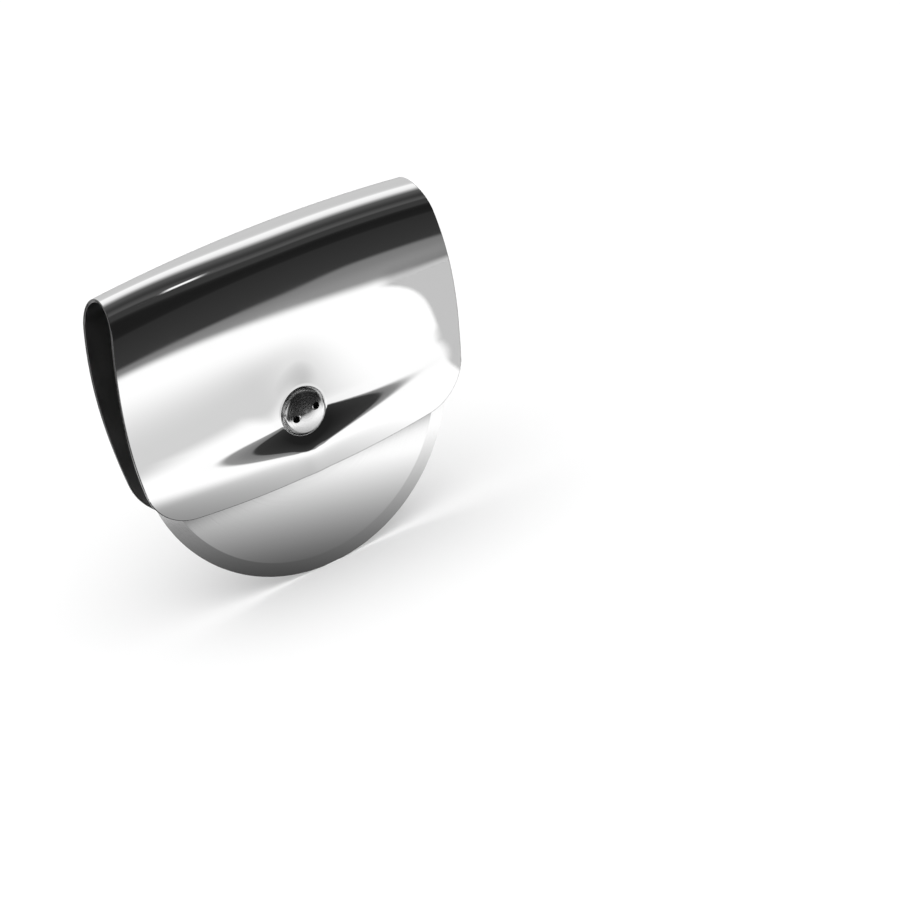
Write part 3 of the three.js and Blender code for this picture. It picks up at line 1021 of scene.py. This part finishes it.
def room_tones(nodes, x, angle):
    """The dark room with its lamps, a window at the front left and a tube lamp."""
    shift = nodes.step(x, *OVERHEAD_SHIFT_X, *OVERHEAD_SHIFT)
    overhead = nodes.tones(nodes.math("SUBTRACT", angle, shift), OVERHEAD_TONES)
    rear = nodes.tones(angle, REAR_TONES)
    room = nodes.mix(nodes.step(angle, *OVERHEAD_FROM), rear, overhead)
    room = nodes.mix(nodes.step(angle, *FRONT_FROM), room, nodes.tones(angle, FRONT_TONES))
    window = nodes.product(nodes.step(x, *WINDOW_X, 1, 0), nodes.step(angle, *WINDOW_FROM))
    room = nodes.mix(window, room, nodes.tones(angle, WINDOW_TONES))
    slanted = nodes.math("MULTIPLY_ADD", x, -TUBE_SLOPE, angle)
    tube = nodes.product(nodes.band(slanted, *TUBE_WIDTH), nodes.band(x, *TUBE_X))
    return nodes.mix(tube, room, nodes.tones(angle, TUBE_TONES))


def table_tones(nodes, x, angle):
    """The pale table, with haze at its far edge."""
    far = nodes.step(nodes.math("ABSOLUTE", x), *FAR_TABLE_X)
    near_table, far_table = nodes.tones(angle, TABLE_TONES), nodes.tones(angle, FAR_TABLE_TONES)
    table = nodes.mix(far, near_table, far_table)
    start = nodes.step(x, *WHITE_SHIFT_X, WHITE_FROM - WHITE_SHIFT, WHITE_FROM + WHITE_SHIFT)
    past = nodes.math("SUBTRACT", angle, start)
    white = nodes.step(past, -WHITE_SOFTNESS, WHITE_SOFTNESS)
    return nodes.mix(white, nodes.tones(angle, HAZE_TONES), table)


def mirrored_tones(nodes):
    parts = nodes.node("ShaderNodeSeparateXYZ")
    nodes.link(nodes.node("ShaderNodeTexCoord").outputs["Generated"], parts.inputs[0])
    x, y, z = parts.outputs
    turn = nodes.math("ARCTAN2", nodes.math("MULTIPLY", y, -1), z)
    angle = nodes.math("MULTIPLY", turn, 180 / pi)
    shifted = nodes.math("ADD", angle, nodes.step(x, *TABLE_EDGE_SHIFT_X, 0, TABLE_EDGE_SHIFT))
    low, high = TABLE_EDGE - TABLE_EDGE_SOFTNESS, TABLE_EDGE + TABLE_EDGE_SOFTNESS
    below = nodes.step(shifted, low, high)
    return nodes.mix(below, room_tones(nodes, x, angle), table_tones(nodes, x, angle))


def build_world():
    """A white backdrop for the camera and the light, and the room for mirror finishes."""
    world = bpy.data.worlds.new("studio")
    bpy.context.scene.world = world
    world.use_nodes = True
    world.node_tree.nodes.clear()
    nodes = Nodes(world.node_tree)
    reflected = nodes.node("ShaderNodeBackground")
    reflected.inputs["Strength"].default_value = MIRROR_GAIN
    nodes.link(mirrored_tones(nodes), reflected.inputs["Color"])
    backdrop = nodes.node("ShaderNodeBackground")
    backdrop.inputs["Color"].default_value = (1, 1, 1, 1)
    rays = nodes.node("ShaderNodeLightPath").outputs
    seen = nodes.math("MULTIPLY_ADD", rays["Is Camera Ray"], 1 - FILL_LIGHT, FILL_LIGHT)
    nodes.link(seen, backdrop.inputs["Strength"])
    unscattered = nodes.math("LESS_THAN", rays["Diffuse Depth"], 0.5)
    mirrored = nodes.math("MULTIPLY", rays["Is Glossy Ray"], unscattered)
    surface = nodes.mix_shaders(mirrored, backdrop.outputs[0], reflected.outputs[0])
    nodes.link(surface, nodes.node("ShaderNodeOutputWorld").inputs["Surface"])


def build_floor():
    floor = stage_plate("floor", level_corners(FLOOR_HALF_SIDE, FLOOR_HALF_SIDE, 0))
    floor.data.materials.append(pale_floor())
    floor.visible_glossy = False


def build_lamp():
    light = bpy.data.lights.new("soft_light", "SUN")
    light.energy = SUN_ENERGY
    light.angle = SUN_ANGLE
    lamp = bpy.data.objects.new("soft_light", light)
    lamp.rotation_euler = SUN_TURN
    lamp.visible_glossy = False
    bpy.context.collection.objects.link(lamp)


build_floor()
painted_reflection_card()
low_veil()
side_scrim()
build_lamp()
build_world()
bpy.context.scene.view_settings.view_transform = "Standard"


# Camera: angles, distance in metres, and the axle's place in the photograph's 900 x 900 frame

IMAGE = 900
FOCAL_PIXELS = 2406.7
SENSOR_WIDTH = 36
DISTANCE = 0.68
AXLE_PIXEL = (296.256, 407.635)
AZIMUTH = radians(-28.68)
ELEVATION = radians(24.449)
ROLL = radians(-12.083)


def build_camera():
    level = cos(ELEVATION)
    back = Vector((sin(AZIMUTH) * level, -cos(AZIMUTH) * level, sin(ELEVATION)))
    side = Vector((cos(AZIMUTH), sin(AZIMUTH), 0))
    rise = back.cross(side)
    right = side * cos(ROLL) + rise * sin(ROLL)
    up = rise * cos(ROLL) - side * sin(ROLL)
    aside, below = ((pixel - IMAGE / 2) / FOCAL_PIXELS * DISTANCE for pixel in AXLE_PIXEL)
    camera = bpy.data.objects.new("camera", bpy.data.cameras.new("camera"))
    bpy.context.collection.objects.link(camera)
    camera.data.sensor_width = SENSOR_WIDTH
    camera.data.lens = FOCAL_PIXELS / IMAGE * SENSOR_WIDTH
    place = AXLE + back * DISTANCE - right * aside + up * below
    turn = Matrix((right, up, back)).transposed().to_4x4()
    camera.matrix_world = Matrix.Translation(place) @ turn
    bpy.context.scene.camera = camera


build_camera()
